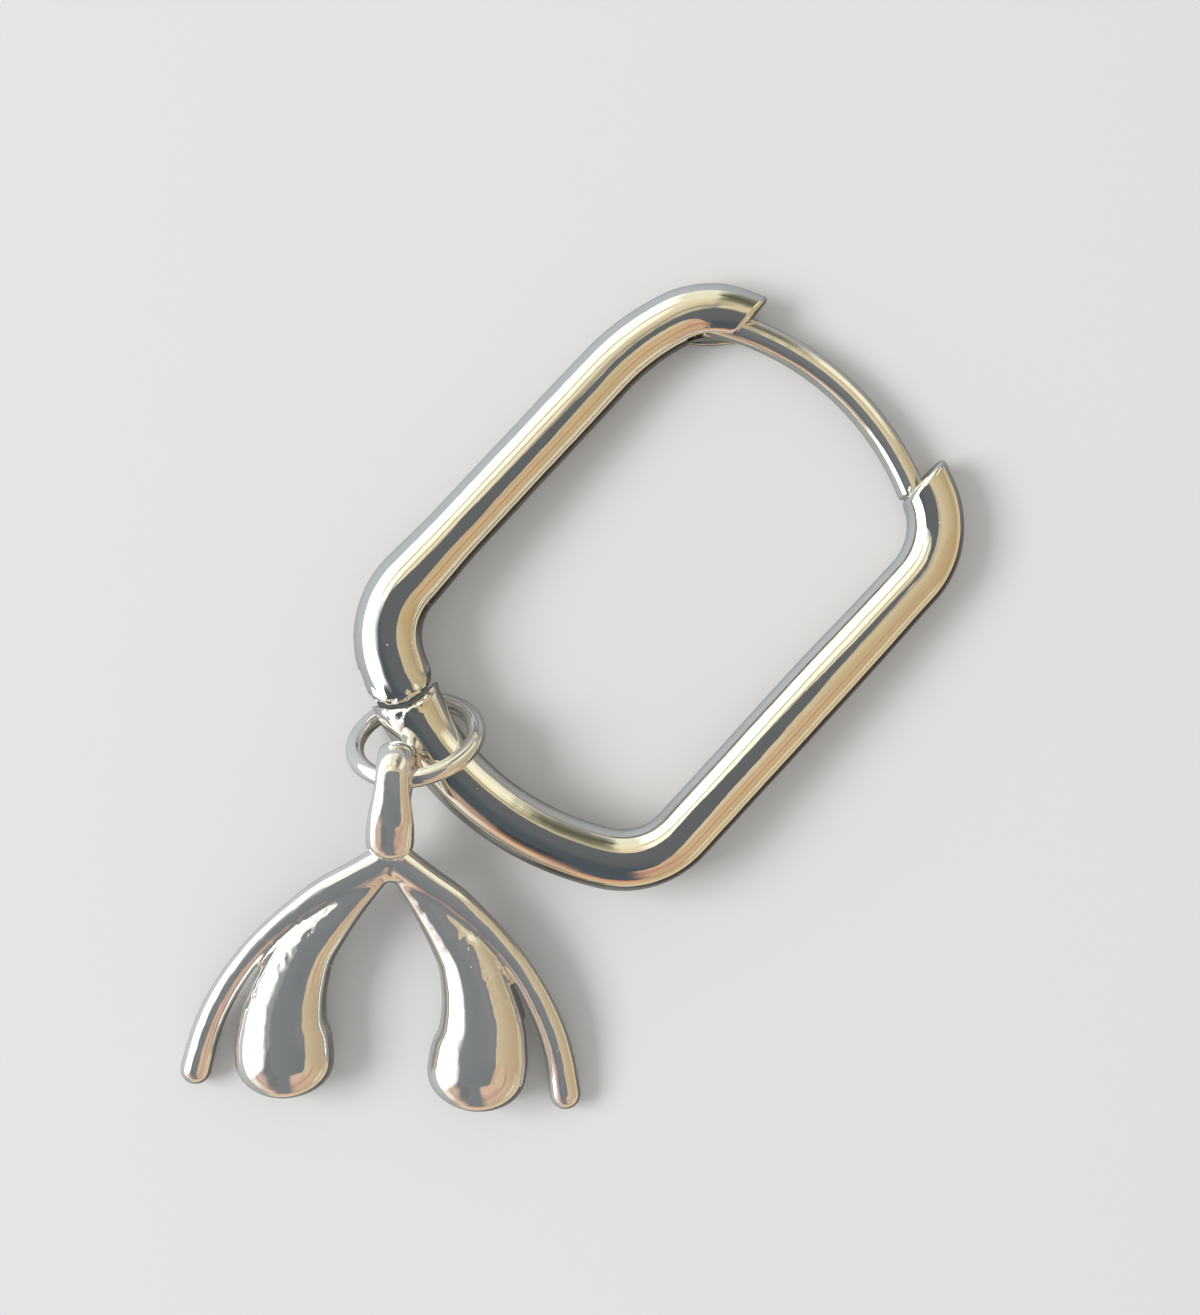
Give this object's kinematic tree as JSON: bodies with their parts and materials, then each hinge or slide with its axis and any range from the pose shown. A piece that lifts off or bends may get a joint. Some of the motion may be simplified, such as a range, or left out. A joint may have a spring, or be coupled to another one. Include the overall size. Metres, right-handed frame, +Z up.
{
  "type": "hoop charm earring",
  "caption": "Hinged rounded-rectangle hoop earring with a curved ear post, a jump ring round its wire and a cast charm of slim outer legs and full inner bulbs, lying flat.",
  "frame": {"origin": "centre of the bounding box in plan, at the surface that the earring lies on", "axes": "+X across the hoop towards its lower arm, +Y along the hoop towards the ear post, +Z up from the surface"},
  "size_m": [0.0202, 0.0386, 0.0055],
  "materials": {
    "hoop_silver": "mirror polished",
    "post_silver": "mirror polished",
    "ring_silver": "mirror polished, with fine handling marks",
    "charm_silver": "mirror polished casting"
  },
  "bodies": {
    "lower": {"lower_arm": "hoop_silver", "ear_post": "post_silver", "hinge_pin": "post_silver", "jump_ring": "ring_silver", "charm": "charm_silver"},
    "upper": {"upper_arm": "hoop_silver"}
  },
  "joints": [
    {"name": "hoop_hinge", "type": "hinge", "parent": "lower", "child": "upper", "pos_m": [-0.0069, -0.0017, 0.0021], "axis": [0, 0.0526, 0.9986], "range_deg": [0, 50]}
  ]
}
